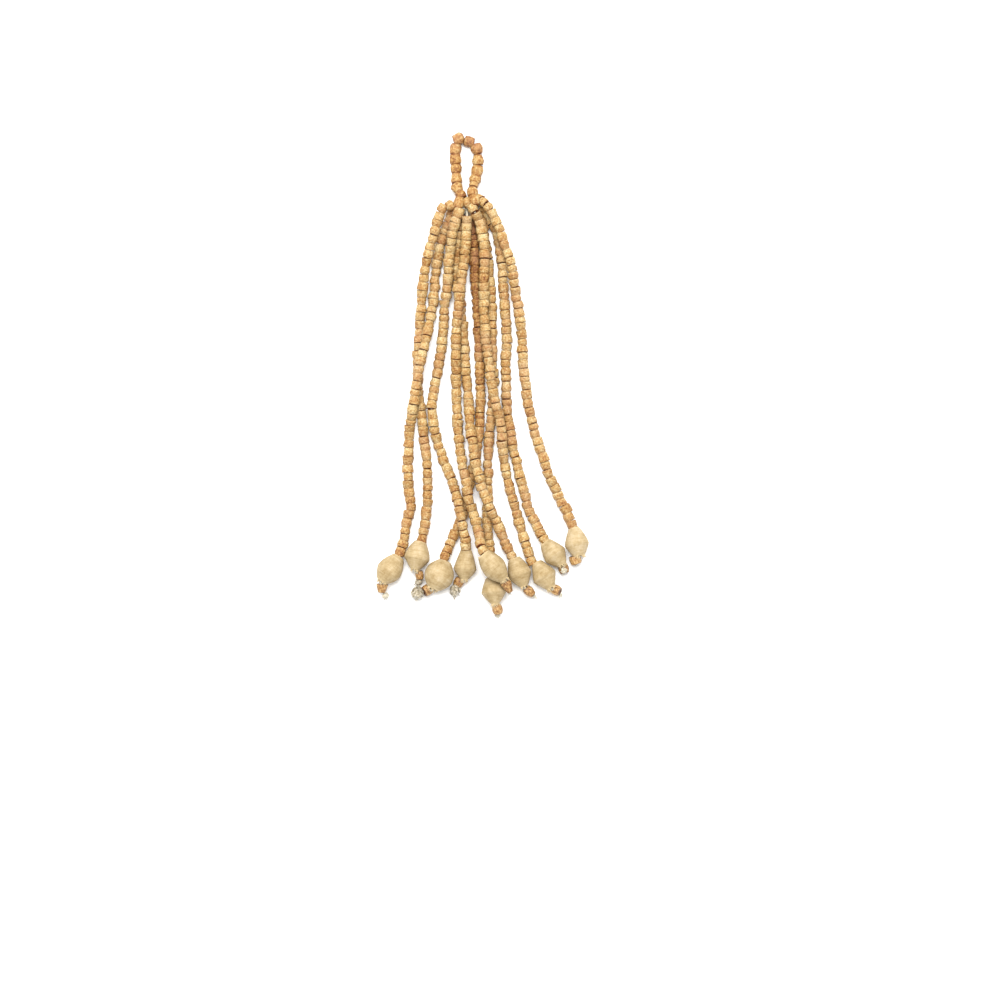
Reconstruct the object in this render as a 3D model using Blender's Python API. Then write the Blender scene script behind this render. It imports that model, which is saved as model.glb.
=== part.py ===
"""Beaded tassel lying on a flat surface.

Ten strands of small wooden barrel beads hang from one knot under a loop of larger barrel
beads. Each strand ends in a large turned bead, a small stopper bead and a thread knot.

Metres, +Z up. The origin is on the surface, under the middle of the tassel's box.
+Y points towards the hanging loop, +X to the right. The tables are in millimetres.
"""

import math

import bmesh
import bpy
import numpy as np

MM = 0.001

# Driving sizes, in millimetres.
STRAND_DIAMETER = 1.52  # across the corners of a strand's eight-sided section
STRAND_STACK = 1.80  # how far one strand lies above another that it crosses
RING_SPACING = 2.0  # distance between the sections of a strand
LOOP_BEAD_DIAMETER = 1.72
STOPPER_DIAMETER = 1.70
STOPPER_LENGTH = 1.30
FLAT_DEPTH = 0.06  # how much is cut off under an end bead, for its flat spot
STRAND_SIDES = 8
SMALL_BEAD_SIDES = 8
END_BEAD_SIDES = 12
KNOT_SIDES = 6
SHARP_DEGREES = 35  # faces that meet at more than this keep a sharp edge

# Height of the middle line when the lowest flat lies on the surface.
STRAND_REST = STRAND_DIAMETER / 2 * math.cos(math.pi / STRAND_SIDES)
LOOP_BEAD_REST = LOOP_BEAD_DIAMETER / 2 * math.cos(math.pi / SMALL_BEAD_SIDES)

# Middle line of each strand from the neck to its end bead, one row a point.
# x, y in millimetres; lift is the height above the surface in strands (0 lies on it,
# 1 lies on one strand). A smooth curve runs through the points.
STRANDS = {
    1: [  # x, y, lift
        (-5.2, 27.3, 1.00), (-6.2, 27.1, 0.95), (-6.9, 25.7, 0.90), (-7.5, 23.7, 0.85),
        (-8.2, 21.2, 0.75), (-8.9, 18.6, 0.60), (-9.5, 15.1, 0.35), (-9.8, 11.6, 0.10),
        (-10.1, 7.8, 0.00), (-10.3, 4.2, 0.00), (-10.4, 1.0, 0.00), (-10.4, -1.7, 0.00),
        (-10.1, -4.4, 0.00), (-9.7, -7.0, 0.00), (-9.3, -10.7, 0.00), (-8.9, -14.6, 0.00),
        (-8.8, -18.3, 0.00), (-9.0, -22.0, 0.05), (-9.4, -25.0, 0.25), (-9.6, -26.5, 0.35),
    ],
    2: [
        (-5.0, 25.4, 0.00), (-6.0, 23.4, 0.00), (-6.8, 20.8, 0.00), (-7.4, 17.3, 0.00),
        (-7.7, 13.5, 0.00), (-8.2, 10.0, 0.25), (-8.8, 6.8, 0.65), (-9.5, 3.7, 0.95),
        (-10.2, 0.9, 1.05), (-10.7, -2.2, 1.05), (-11.1, -5.0, 0.85), (-11.6, -8.2, 0.30),
        (-11.9, -12.0, 0.00), (-12.0, -16.1, 0.00), (-11.7, -20.4, 0.00), (-12.1, -23.5, 0.05),
        (-12.6, -26.3, 0.30), (-13.3, -28.8, 0.45),
    ],
    3: [
        (-3.8, 26.0, 1.00), (-4.5, 24.0, 0.95), (-5.0, 21.4, 0.85), (-5.3, 18.2, 0.75),
        (-5.6, 14.7, 0.50), (-6.0, 11.6, 0.20), (-6.2, 8.0, 0.05), (-6.6, 4.6, 0.02),
        (-7.1, 1.2, 0.02), (-7.8, -2.4, 0.15), (-8.1, -5.3, 0.45), (-7.8, -8.0, 0.35),
        (-7.1, -11.0, 0.05), (-6.3, -13.6, 0.00), (-5.1, -16.4, 0.10), (-4.2, -19.0, 0.50),
        (-3.6, -21.6, 0.95), (-3.1, -24.4, 1.05), (-2.7, -26.4, 0.75), (-2.5, -27.7, 0.50),
    ],
    4: [
        (-2.4, 25.0, 1.00), (-2.5, 22.4, 0.95), (-2.8, 19.7, 0.95), (-3.1, 16.7, 1.00),
        (-3.5, 13.6, 1.05), (-3.8, 10.4, 1.00), (-4.2, 7.0, 0.85), (-4.2, 3.2, 0.65),
        (-4.2, -0.8, 0.30), (-4.1, -4.4, 0.10), (-3.9, -8.9, 0.05), (-3.5, -12.3, 0.25),
        (-2.9, -15.6, 0.75), (-2.3, -18.9, 1.05), (-1.7, -21.4, 1.00), (-0.9, -24.0, 0.90),
        (-0.4, -26.0, 1.20), (-0.2, -27.2, 1.65), (0.1, -28.1, 1.95),
    ],
    5: [
        (-3.4, 24.2, 0.00), (-3.8, 22.0, 0.00), (-4.1, 18.9, 0.00), (-4.0, 15.7, 0.00),
        (-3.6, 12.6, 0.00), (-3.3, 9.8, 0.00), (-3.0, 6.6, 0.00), (-2.8, 3.2, 0.00),
        (-2.6, 0.2, 0.00), (-2.3, -2.8, 0.05), (-2.1, -5.6, 0.25), (-1.9, -8.4, 0.60),
        (-1.5, -11.2, 0.95), (-1.0, -14.4, 1.05), (-0.3, -17.2, 1.05), (0.6, -19.7, 1.05),
        (1.7, -22.3, 0.95), (2.8, -24.8, 0.45), (3.8, -27.2, 0.25), (4.8, -29.3, 0.35),
    ],
    6: [
        (-1.8, 24.2, 0.00), (-1.3, 21.8, 0.00), (-1.2, 18.6, 0.00), (-1.1, 15.4, 0.00),
        (-0.9, 12.6, 0.00), (-0.7, 10.0, 0.00), (-0.5, 6.6, 0.00), (-0.4, 3.2, 0.00),
        (-0.3, -0.4, 0.00), (-0.3, -4.0, 0.00), (-0.4, -7.2, 0.00), (-0.7, -10.4, 0.00),
        (-1.1, -13.4, 0.00), (-1.8, -16.9, 0.00), (-2.5, -20.2, 0.00), (-3.4, -23.3, 0.00),
        (-4.6, -26.0, 0.10), (-6.0, -29.3, 0.55),
    ],
    7: [
        (-1.4, 26.5, 1.10), (-0.4, 24.8, 1.00), (0.2, 22.0, 0.95), (0.4, 18.9, 0.95),
        (0.3, 15.4, 0.95), (0.3, 11.8, 0.95), (0.4, 8.4, 0.95), (0.7, 5.2, 0.95),
        (1.1, 1.8, 1.00), (1.6, -1.6, 1.05), (2.2, -4.6, 1.05), (2.9, -7.4, 0.95),
        (3.2, -10.4, 0.75), (3.5, -13.3, 0.35), (4.1, -16.8, 0.05), (5.0, -20.2, 0.00),
        (6.0, -23.6, 0.02), (6.9, -26.8, 0.20), (8.0, -30.0, 0.38),
    ],
    8: [
        (0.1, 24.0, 0.00), (0.3, 22.0, 0.00), (0.9, 18.8, 0.00), (1.2, 15.6, 0.00),
        (1.5, 12.8, 0.00), (1.6, 9.6, 0.00), (1.6, 6.0, 0.00), (1.7, 2.6, 0.00),
        (1.9, -1.0, 0.00), (1.7, -4.6, 0.00), (1.4, -8.0, 0.00), (1.1, -11.4, 0.00),
        (0.9, -15.2, 0.00), (0.9, -19.3, 0.00), (0.8, -22.4, 0.00), (1.0, -25.8, 0.00),
        (1.3, -28.6, 0.00), (1.5, -31.0, 0.15), (1.7, -32.4, 0.30),
    ],
    9: [
        (1.5, 25.0, 0.00), (2.3, 23.1, 0.00), (2.9, 20.9, 0.00), (3.2, 17.9, 0.00),
        (3.4, 14.8, 0.00), (3.7, 11.4, 0.00), (3.9, 8.0, 0.00), (4.0, 5.2, 0.00),
        (3.9, 2.2, 0.00), (3.9, -1.2, 0.00), (4.0, -4.8, 0.00), (4.4, -8.2, 0.00),
        (5.0, -11.6, 0.00), (5.8, -15.0, 0.00), (6.7, -18.5, 0.00), (7.6, -21.8, 0.05),
        (8.8, -24.2, 0.20), (9.9, -26.4, 0.35),
    ],
    10: [
        (0.6, 27.5, 1.00), (1.6, 26.1, 1.00), (2.8, 23.5, 0.98), (3.7, 20.8, 0.95),
        (4.6, 18.1, 0.85), (5.2, 15.0, 0.65), (5.6, 12.2, 0.35), (6.1, 9.0, 0.10),
        (6.5, 5.4, 0.00), (6.7, 1.6, 0.00), (7.1, -2.4, 0.00), (7.7, -6.0, 0.00),
        (8.6, -9.4, 0.00), (9.6, -12.8, 0.00), (10.9, -16.5, 0.00), (12.5, -19.9, 0.05),
        (13.8, -22.5, 0.25), (14.5, -24.2, 0.35),
    ],
}

# Large turned bead on each strand. x, y is its middle; raised is how far it stands above
# one that rests on the surface; lean is its turn to +X going down the strand and dip how
# far its lower end is raised, in degrees; widest is the share of its length at which it
# is widest.
END_BEADS = {
    # strand: (x, y, raised, lean, dip, length, diameter, widest)
    1: (-10.30, -29.15, 0.0, -11, 8, 4.50, 4.00, 0.64),
    2: (-14.75, -31.37, 0.0, -35, 8, 4.90, 4.10, 0.58),
    3: (-2.65, -30.66, 0.0, -4, 8, 4.90, 3.50, 0.62),
    4: (1.92, -30.95, 2.5, 39, 0, 5.20, 3.80, 0.55),
    5: (5.90, -31.92, 0.0, 20, 8, 4.80, 3.60, 0.60),
    6: (-6.84, -32.30, 0.0, -24, 8, 4.90, 4.70, 0.52),
    7: (9.86, -32.35, 0.0, 30, 8, 4.75, 3.80, 0.60),
    8: (1.90, -34.85, 0.0, 6, 8, 4.30, 3.90, 0.55),
    9: (11.60, -28.85, 0.0, 38, 8, 4.60, 3.60, 0.58),
    10: (15.16, -26.95, 0.0, 10, 8, 4.60, 3.70, 0.62),
}

# Small bead that stops each end bead. x, y, z is its middle; lean and dip as above.
STOPPER_BEADS = {
    # strand: (x, y, z, lean, dip)
    1: (-10.20, -32.52, 1.75, 5, -10),
    2: (-16.22, -34.60, 1.90, -15, -10),
    3: (-3.60, -34.10, 1.70, -25, -10),
    4: (4.15, -34.05, 4.10, 30, -10),
    5: (7.55, -34.98, 1.70, 35, -10),
    6: (-8.95, -35.12, 1.80, -45, -10),
    7: (12.00, -35.08, 1.70, 45, -10),
    8: (2.40, -38.00, 1.70, 12, -10),
    9: (12.75, -31.95, 0.85, 20, 0),
    10: (15.20, -30.35, 1.70, 5, -10),
}

# Knot of thread that ends each strand. x, y, z is its middle.
THREAD_KNOTS = {
    # strand: (x, y, z, diameter)
    1: (-10.45, -33.95, 1.30, 0.90),
    2: (-15.75, -36.00, 1.20, 1.00),
    3: (-4.50, -35.55, 1.10, 1.50),
    4: (4.45, -35.30, 3.50, 0.70),
    5: (8.40, -36.00, 1.20, 0.70),
    6: (-10.65, -35.65, 1.20, 1.80),
    7: (12.95, -35.85, 1.10, 0.70),
    8: (2.40, -39.02, 1.10, 0.46),
    9: (14.15, -31.50, 1.20, 1.00),
    10: (15.20, -31.55, 1.10, 0.50),
}

# Beads of the hanging loop, up the left leg, over the top and down the right leg.
# raised is how far a bead stands above one that rests on the surface.
LOOP_BEADS = [
    # x, y, raised, length
    (-3.70, 27.65, 1.75, 0.95),
    (-3.40, 28.95, 1.30, 0.95),
    (-3.85, 30.30, 0.75, 1.10),
    (-4.10, 31.85, 0.20, 1.25),
    (-4.20, 33.40, 0.00, 1.25),
    (-4.30, 34.95, 0.00, 1.25),
    (-4.35, 36.55, 0.00, 1.25),
    (-3.80, 38.40, 0.00, 1.15),
    (-2.05, 37.95, 0.00, 1.10),
    (-0.80, 36.60, 0.00, 1.25),
    (-0.60, 34.90, 0.00, 1.30),
    (-0.80, 33.30, 0.00, 1.25),
    (-1.05, 31.75, 0.20, 1.20),
    (-1.40, 30.30, 0.75, 1.05),
    (-1.50, 29.05, 1.35, 0.90),
    (-1.30, 27.90, 1.90, 0.80),
]

# Tied threads under the loop, where all the strands start.
NECK_KNOT = (-2.45, 26.75, 1.00, 1.50)  # x, y, z, diameter

# Outlines of turned beads from the upper end to the lower, as shares of length and radius.
BARREL = [(0.0, 0.74), (0.32, 0.97), (0.62, 1.0), (1.0, 0.76)]
KNOT_BALL = [(0.0, 0.35), (0.22, 0.82), (0.5, 1.0), (0.8, 0.80), (1.0, 0.40)]

# An end bead's rounded cones, as shares of the length from its end to its widest ring.
END_BEAD_ABOVE = [(0.0, 0.42), (0.25, 0.64), (0.62, 0.88)]
END_BEAD_BELOW = [(0.0, 1.0), (0.45, 0.86), (0.80, 0.60), (1.0, 0.38)]


def end_bead_outline(widest):
    """The cone above the widest ring, and the one below it."""
    upper = [(share * widest, radius) for share, radius in END_BEAD_ABOVE]
    lower = [(widest + share * (1 - widest), radius) for share, radius in END_BEAD_BELOW]
    return upper + lower


def smooth_curve(points, steps=12):
    """Catmull-Rom curve through the points, with straight-on ends."""
    ends = [2 * points[0] - points[1], 2 * points[-1] - points[-2]]
    p = np.vstack([ends[:1], points, ends[1:]])
    t = np.linspace(0, 1, steps, endpoint=False)[:, None]
    spans = [
        0.5 * (2 * b + (c - a) * t + (2 * a - 5 * b + 4 * c - d) * t**2
               + (3 * b - a - 3 * c + d) * t**3)
        for a, b, c, d in zip(p, p[1:], p[2:], p[3:])
    ]
    return np.vstack([*spans, points[-1:]])


def even_points(curve, spacing):
    """Points at equal distances along a curve, about spacing apart."""
    along = np.concatenate([[0], np.cumsum(np.linalg.norm(np.diff(curve, axis=0), axis=1))])
    count = max(2, round(along[-1] / spacing) + 1)
    places = np.linspace(0, along[-1], count)
    return np.stack([np.interp(places, along, column) for column in curve.T], axis=1)


def across(direction):
    """Level and upward unit vectors square to each direction, so that a flat faces down."""
    level = np.cross(direction, (0.0, 0.0, 1.0))
    level /= np.linalg.norm(level, axis=-1, keepdims=True)
    return level, np.cross(level, direction)


def ring_points(centres, directions, radii, sides):
    """A regular polygon round each centre, turned so that one side is lowest."""
    level, up = across(directions)
    angle = (np.arange(sides) + 0.5) * 2 * math.pi / sides
    spread = level[:, None] * np.cos(angle)[:, None] + up[:, None] * np.sin(angle)[:, None]
    return centres[:, None] + spread * np.asarray(radii)[:, None, None]


def resting(rings):
    """Presses flat what would dip below the surface where the middle line slopes."""
    rings[..., 2] = np.maximum(rings[..., 2], 0)
    return rings


def closed_mesh(name, rings, material, cut_flat=False):
    """Joins the rings into one closed body, given in millimetres, and makes its object."""
    shape = bmesh.new()
    rows = [[shape.verts.new(point * MM) for point in ring] for ring in rings]
    for upper, lower in zip(rows, rows[1:]):
        for k in range(len(upper)):
            n = (k + 1) % len(upper)
            shape.faces.new((upper[k], upper[n], lower[n], lower[k]))
    shape.faces.new(rows[0])
    shape.faces.new(rows[-1])
    if cut_flat:
        everything = shape.verts[:] + shape.edges[:] + shape.faces[:]
        bmesh.ops.bisect_plane(
            shape, geom=everything, plane_co=(0, 0, 0), plane_no=(0, 0, 1), clear_inner=True
        )
        rim = [edge for edge in shape.edges if edge.is_boundary]
        bmesh.ops.contextual_create(shape, geom=rim)
    bmesh.ops.recalc_face_normals(shape, faces=shape.faces[:])
    mesh = bpy.data.meshes.new(name)
    shape.to_mesh(mesh)
    shape.free()
    mesh.shade_smooth()
    mesh.set_sharp_from_angle(angle=math.radians(SHARP_DEGREES))
    mesh.materials.append(material)
    piece = bpy.data.objects.new(name, mesh)
    bpy.context.scene.collection.objects.link(piece)
    return piece


def turned_rings(centre, direction, length, diameter, outline, sides):
    """Rings of a turned bead about its own axis."""
    share, radius = np.array(outline).T
    direction = np.broadcast_to(direction, (len(share), 3))
    centres = np.asarray(centre) + direction * ((share - 0.5) * length)[:, None]
    return ring_points(centres, direction, radius * diameter / 2, sides)


def turned(lean, dip):
    """Direction down the strand from its turn to +X and its rise, in degrees."""
    lean, dip = math.radians(lean), math.radians(dip)
    return np.array(
        [math.sin(lean) * math.cos(dip), -math.cos(lean) * math.cos(dip), math.sin(dip)]
    )


def finish(name, red, green, blue, roughness):
    material = bpy.data.materials.new(name)
    material.use_nodes = True
    shader = material.node_tree.nodes["Principled BSDF"]
    shader.inputs["Base Color"].default_value = (red, green, blue, 1)
    shader.inputs["Roughness"].default_value = roughness
    shader.inputs["Metallic"].default_value = 0
    return material


def make_strands(material):
    for number, route in STRANDS.items():
        points = np.array(route)
        points[:, 2] = STRAND_REST + points[:, 2] * STRAND_STACK
        middle = even_points(smooth_curve(points), RING_SPACING)
        directions = np.gradient(middle, axis=0)
        directions /= np.linalg.norm(directions, axis=1, keepdims=True)
        radii = np.full(len(middle), STRAND_DIAMETER / 2)
        rings = resting(ring_points(middle, directions, radii, STRAND_SIDES))
        closed_mesh(f"strand_{number:02}", rings, material)


def make_end_beads(material):
    for number, row in END_BEADS.items():
        x, y, raised, lean, dip, length, diameter, widest = row
        outline = end_bead_outline(widest)
        size = (length, diameter, outline, END_BEAD_SIDES)
        rings = turned_rings((x, y, 0.0), turned(lean, dip), *size)
        rings[..., 2] += raised - rings[..., 2].min() - FLAT_DEPTH
        closed_mesh(f"end_bead_{number:02}", rings, material, cut_flat=raised == 0)


def make_stopper_beads(material):
    for number, (x, y, z, lean, dip) in STOPPER_BEADS.items():
        size = (STOPPER_LENGTH, STOPPER_DIAMETER, BARREL, SMALL_BEAD_SIDES)
        rings = turned_rings((x, y, z), turned(lean, dip), *size)
        closed_mesh(f"stopper_bead_{number:02}", rings, material)


def make_loop_beads(material):
    table = np.array(LOOP_BEADS)
    middles, lengths = table[:, :3], table[:, 3]
    middles[:, 2] += LOOP_BEAD_REST
    directions = np.gradient(middles, axis=0)
    directions /= np.linalg.norm(directions, axis=1, keepdims=True)
    size = (LOOP_BEAD_DIAMETER, BARREL, SMALL_BEAD_SIDES)
    for number, bead in enumerate(zip(middles, directions, lengths), 1):
        rings = resting(turned_rings(*bead, *size))
        closed_mesh(f"loop_bead_{number:02}", rings, material)


def make_knots(material):
    rows = {f"thread_knot_{number:02}": row for number, row in THREAD_KNOTS.items()}
    rows["neck_knot"] = NECK_KNOT
    for name, (x, y, z, diameter) in rows.items():
        size = (diameter, diameter, KNOT_BALL, KNOT_SIDES)
        closed_mesh(name, turned_rings((x, y, z), turned(0, 0), *size), material)


for leftover in list(bpy.data.objects):
    bpy.data.objects.remove(leftover, do_unlink=True)
small_wood = finish("small_bead_wood", 0.60, 0.39, 0.20, 0.55)
make_strands(small_wood)
make_loop_beads(small_wood)
make_end_beads(finish("end_bead_wood", 0.70, 0.57, 0.36, 0.60))
make_stopper_beads(finish("stopper_bead_wood", 0.50, 0.27, 0.11, 0.55))
make_knots(finish("cotton_thread", 0.78, 0.76, 0.70, 0.90))
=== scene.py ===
"""Looks of a beaded tassel that lies on a flat surface: beads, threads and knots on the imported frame.

Ten threads of small turned wooden beads hang from one tie under a beaded loop. Each ends in a large
pale bead, a small tip bead and a knot. Tables and shapes are in millimetres, meshes in metres.
"""

import math

import bpy
import numpy as np
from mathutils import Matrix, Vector


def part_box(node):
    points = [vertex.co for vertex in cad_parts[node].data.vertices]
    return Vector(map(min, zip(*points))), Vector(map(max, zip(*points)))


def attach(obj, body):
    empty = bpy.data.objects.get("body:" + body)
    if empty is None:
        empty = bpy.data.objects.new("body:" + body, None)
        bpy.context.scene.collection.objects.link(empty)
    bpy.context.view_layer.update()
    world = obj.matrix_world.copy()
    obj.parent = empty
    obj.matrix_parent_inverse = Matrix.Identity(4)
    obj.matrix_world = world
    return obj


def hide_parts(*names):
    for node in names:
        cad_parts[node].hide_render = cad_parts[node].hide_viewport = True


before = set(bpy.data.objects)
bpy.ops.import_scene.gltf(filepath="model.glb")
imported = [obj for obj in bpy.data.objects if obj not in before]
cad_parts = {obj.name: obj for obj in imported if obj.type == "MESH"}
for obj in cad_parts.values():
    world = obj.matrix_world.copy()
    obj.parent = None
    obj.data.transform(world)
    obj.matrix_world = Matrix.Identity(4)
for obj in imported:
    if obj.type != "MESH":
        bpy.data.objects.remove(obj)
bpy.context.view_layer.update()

# ----------------
# Camera. It looks straight down from a copy stand, with the tassel up and left of the middle.
# ----------------
VIEW_WIDTH = 0.1617  # metres of the surface seen across the picture
VIEW_MIDDLE = (0.00299, -0.02027)
LENS_MM = 100.0
SENSOR_MM = 36.0
BEAD_LEVEL = 0.0015  # height of the layer of beads that is seen at that width

lens = bpy.data.cameras.new("copy_stand_camera")
lens.lens = LENS_MM
lens.sensor_width = SENSOR_MM
lens.clip_start, lens.clip_end = 0.01, 10.0
camera = bpy.data.objects.new("copy_stand_camera", lens)
camera.location = (*VIEW_MIDDLE, BEAD_LEVEL + VIEW_WIDTH * LENS_MM / SENSOR_MM)
bpy.context.scene.collection.objects.link(camera)
bpy.context.scene.camera = camera
bpy.context.scene.view_settings.view_transform = "Standard"

# ----------------
# Studio. A white table in a bright white room, under a soft box overhead and a weaker one from the
# left. The light is strong, so that the table burns out to white and throws little shadow.
# ----------------
TABLE_SIDE = 12.0
ROOM_STRENGTH = 0.80
SOFT_BOXES = {
    # name: (x, y, z, side, watts), in metres
    "soft_box_overhead": (-0.02, 0.26, 0.72, 0.45, 10.0),
    "soft_box_left": (-0.55, 0.30, 0.50, 0.40, 0.6),
}


def linear(hex_colour):
    """A colour written as sRGB hex digits, as linear red, green, blue and 1."""
    values = np.array([int(hex_colour[i:i + 2], 16) / 255 for i in (1, 3, 5)])
    low, high = values / 12.92, ((values + 0.055) / 1.055) ** 2.4
    return (*np.where(values <= 0.04045, low, high).tolist(), 1.0)


def add_node(tree, kind, inputs=None, stops=None, **settings):
    """Adds a node. inputs maps a socket to a value or to the output linked to it; stops are a ramp's."""
    node = tree.nodes.new(kind)
    for name, value in settings.items():
        setattr(node, name, value)
    for socket, value in (inputs or {}).items():
        if isinstance(value, bpy.types.NodeSocket):
            tree.links.new(value, node.inputs[socket])
        else:
            node.inputs[socket].default_value = value
    if stops:
        while len(node.color_ramp.elements) < len(stops):
            node.color_ramp.elements.new(1.0)
        for element, (place, colour) in zip(node.color_ramp.elements, stops):
            element.position = place
            element.color = linear(colour)
    return node


def new_material(name, values):
    """A material with these values on its shader's own sockets, as (material, tree, shader)."""
    material = bpy.data.materials.new(name)
    material.use_nodes = True
    shader = material.node_tree.nodes["Principled BSDF"]
    for socket, value in values.items():
        shader.inputs[socket].default_value = value
    return material, material.node_tree, shader


# Matt white emulsion paint, rolled on.
table_paint, tree, shader = new_material("white_table_paint", {
    "Base Color": linear("#FBFBFA"), "Roughness": 0.9, "Specular IOR Level": 0.1})
half = TABLE_SIDE / 2
table_mesh = bpy.data.meshes.new("table_top")
table_mesh.from_pydata(
    [(-half, -half, 0), (half, -half, 0), (half, half, 0), (-half, half, 0)], [], [(0, 1, 2, 3)]
)
table_mesh.materials.append(table_paint)
table_top = bpy.data.objects.new("table_top", table_mesh)
bpy.context.scene.collection.objects.link(table_top)

room = bpy.data.worlds.new("white_room")
room.use_nodes = True
room.node_tree.nodes["Background"].inputs["Color"].default_value = linear("#FFFFFF")
room.node_tree.nodes["Background"].inputs["Strength"].default_value = ROOM_STRENGTH
bpy.context.scene.world = room

for name, (x, y, z, side, watts) in SOFT_BOXES.items():
    lamp = bpy.data.lights.new(name, "AREA")
    lamp.size, lamp.energy = side, watts
    lamp_object = bpy.data.objects.new(name, lamp)
    lamp_object.location = (x, y, z)
    lamp_object.rotation_euler = Vector((-x, -y, -z)).to_track_quat("-Z", "Y").to_euler()
    lamp_object.visible_camera = False
    bpy.context.scene.collection.objects.link(lamp_object)

# ----------------
# Threads. Ten lengths of two-ply white cotton, each run from the tie at the neck down through
# its small beads, its large bead and its tip bead to a knot. They lie loose on the table.
# ----------------
MM = 0.001
THREAD_DIAMETER = 0.40
THREAD_SIDES = 8
THREAD_RING_SPACING = 0.16
PLY_TWIST = 1.3  # millimetres along the thread for one full turn of its two plies
PLY_DEPTH = 0.13  # how far the plies swell and pinch the thread, as a share of its radius
STRAND_STACK = 1.80  # how far one strand lies above another that it crosses
BEAD_REST = 0.86  # height of a thread where its small beads lie on the table
SHARP_DEGREES = 48  # faces that meet at more than this keep a sharp edge
NECK = (-2.45, 26.75, 1.30)  # the middle of the tie at the neck, in millimetres

# Where each thread is tied, in millimetres, and where the top of its first bead lies. Three threads
# are tied higher than the others, under the legs of the loop.
THREAD_TOPS = {
    # thread: tied at x, y, z; first bead x, y; lift as below
    1: (-3.30, 27.50, 2.20, -4.75, 27.60, 0.95),
    2: (*NECK, -4.65, 26.85, 0),
    3: (*NECK, -3.45, 26.75, 0.95),
    4: (*NECK, -2.40, 25.65, 0.95),
    5: (*NECK, -3.30, 25.50, 0),
    6: (*NECK, -1.75, 25.50, 0),
    7: (-3.30, 28.70, 1.60, -2.70, 28.10, 0.60),
    8: (*NECK, -0.75, 26.20, 0),
    9: (*NECK, -0.25, 27.25, 0),
    10: (-1.80, 29.60, 1.50, -0.95, 28.60, 0.50),
}

# How each thread's large bead lies, and how far its tip bead and knot sit from the middles of the
# packed ones.
THREAD_ENDS = {
    # thread: large bead's lean, dip in degrees and length; tip bead aside, along, up; knot aside,
    # along, up
    1: (-11, 8, 4.60, 0.10, 0.20, -0.50, 0.22, 0.55, -0.50),
    2: (-35, 8, 4.90, 0.07, 0.15, -0.20, 0.18, 0.36, 0),
    3: (-4, 8, 4.90, -0.18, 0.60, -0.80, 0.14, 0.77, 0),
    4: (39, 0, 5.40, 0, -0.08, -0.20, -0.05, 0.10, 0),
    5: (20, 8, 4.85, 0.10, 0.02, -0.20, -0.03, 0.33, 0),
    6: (-24, 8, 4.95, 0.12, 0.42, -0.50, 0.20, 0.50, 0),
    7: (30, 8, 4.80, 0.03, 0.33, -0.40, -0.30, 0.35, -0.20),
    8: (6, 8, 4.35, 0.10, 0.15, -0.20, 0.09, 0.28, 0),
    9: (38, 8, 4.60, 0.45, 0.65, 0, -0.95, -0.05, 0.80),
    10: (10, 8, 4.65, -0.13, 0.52, -0.30, -0.10, 0.90, -0.20),
}

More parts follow.
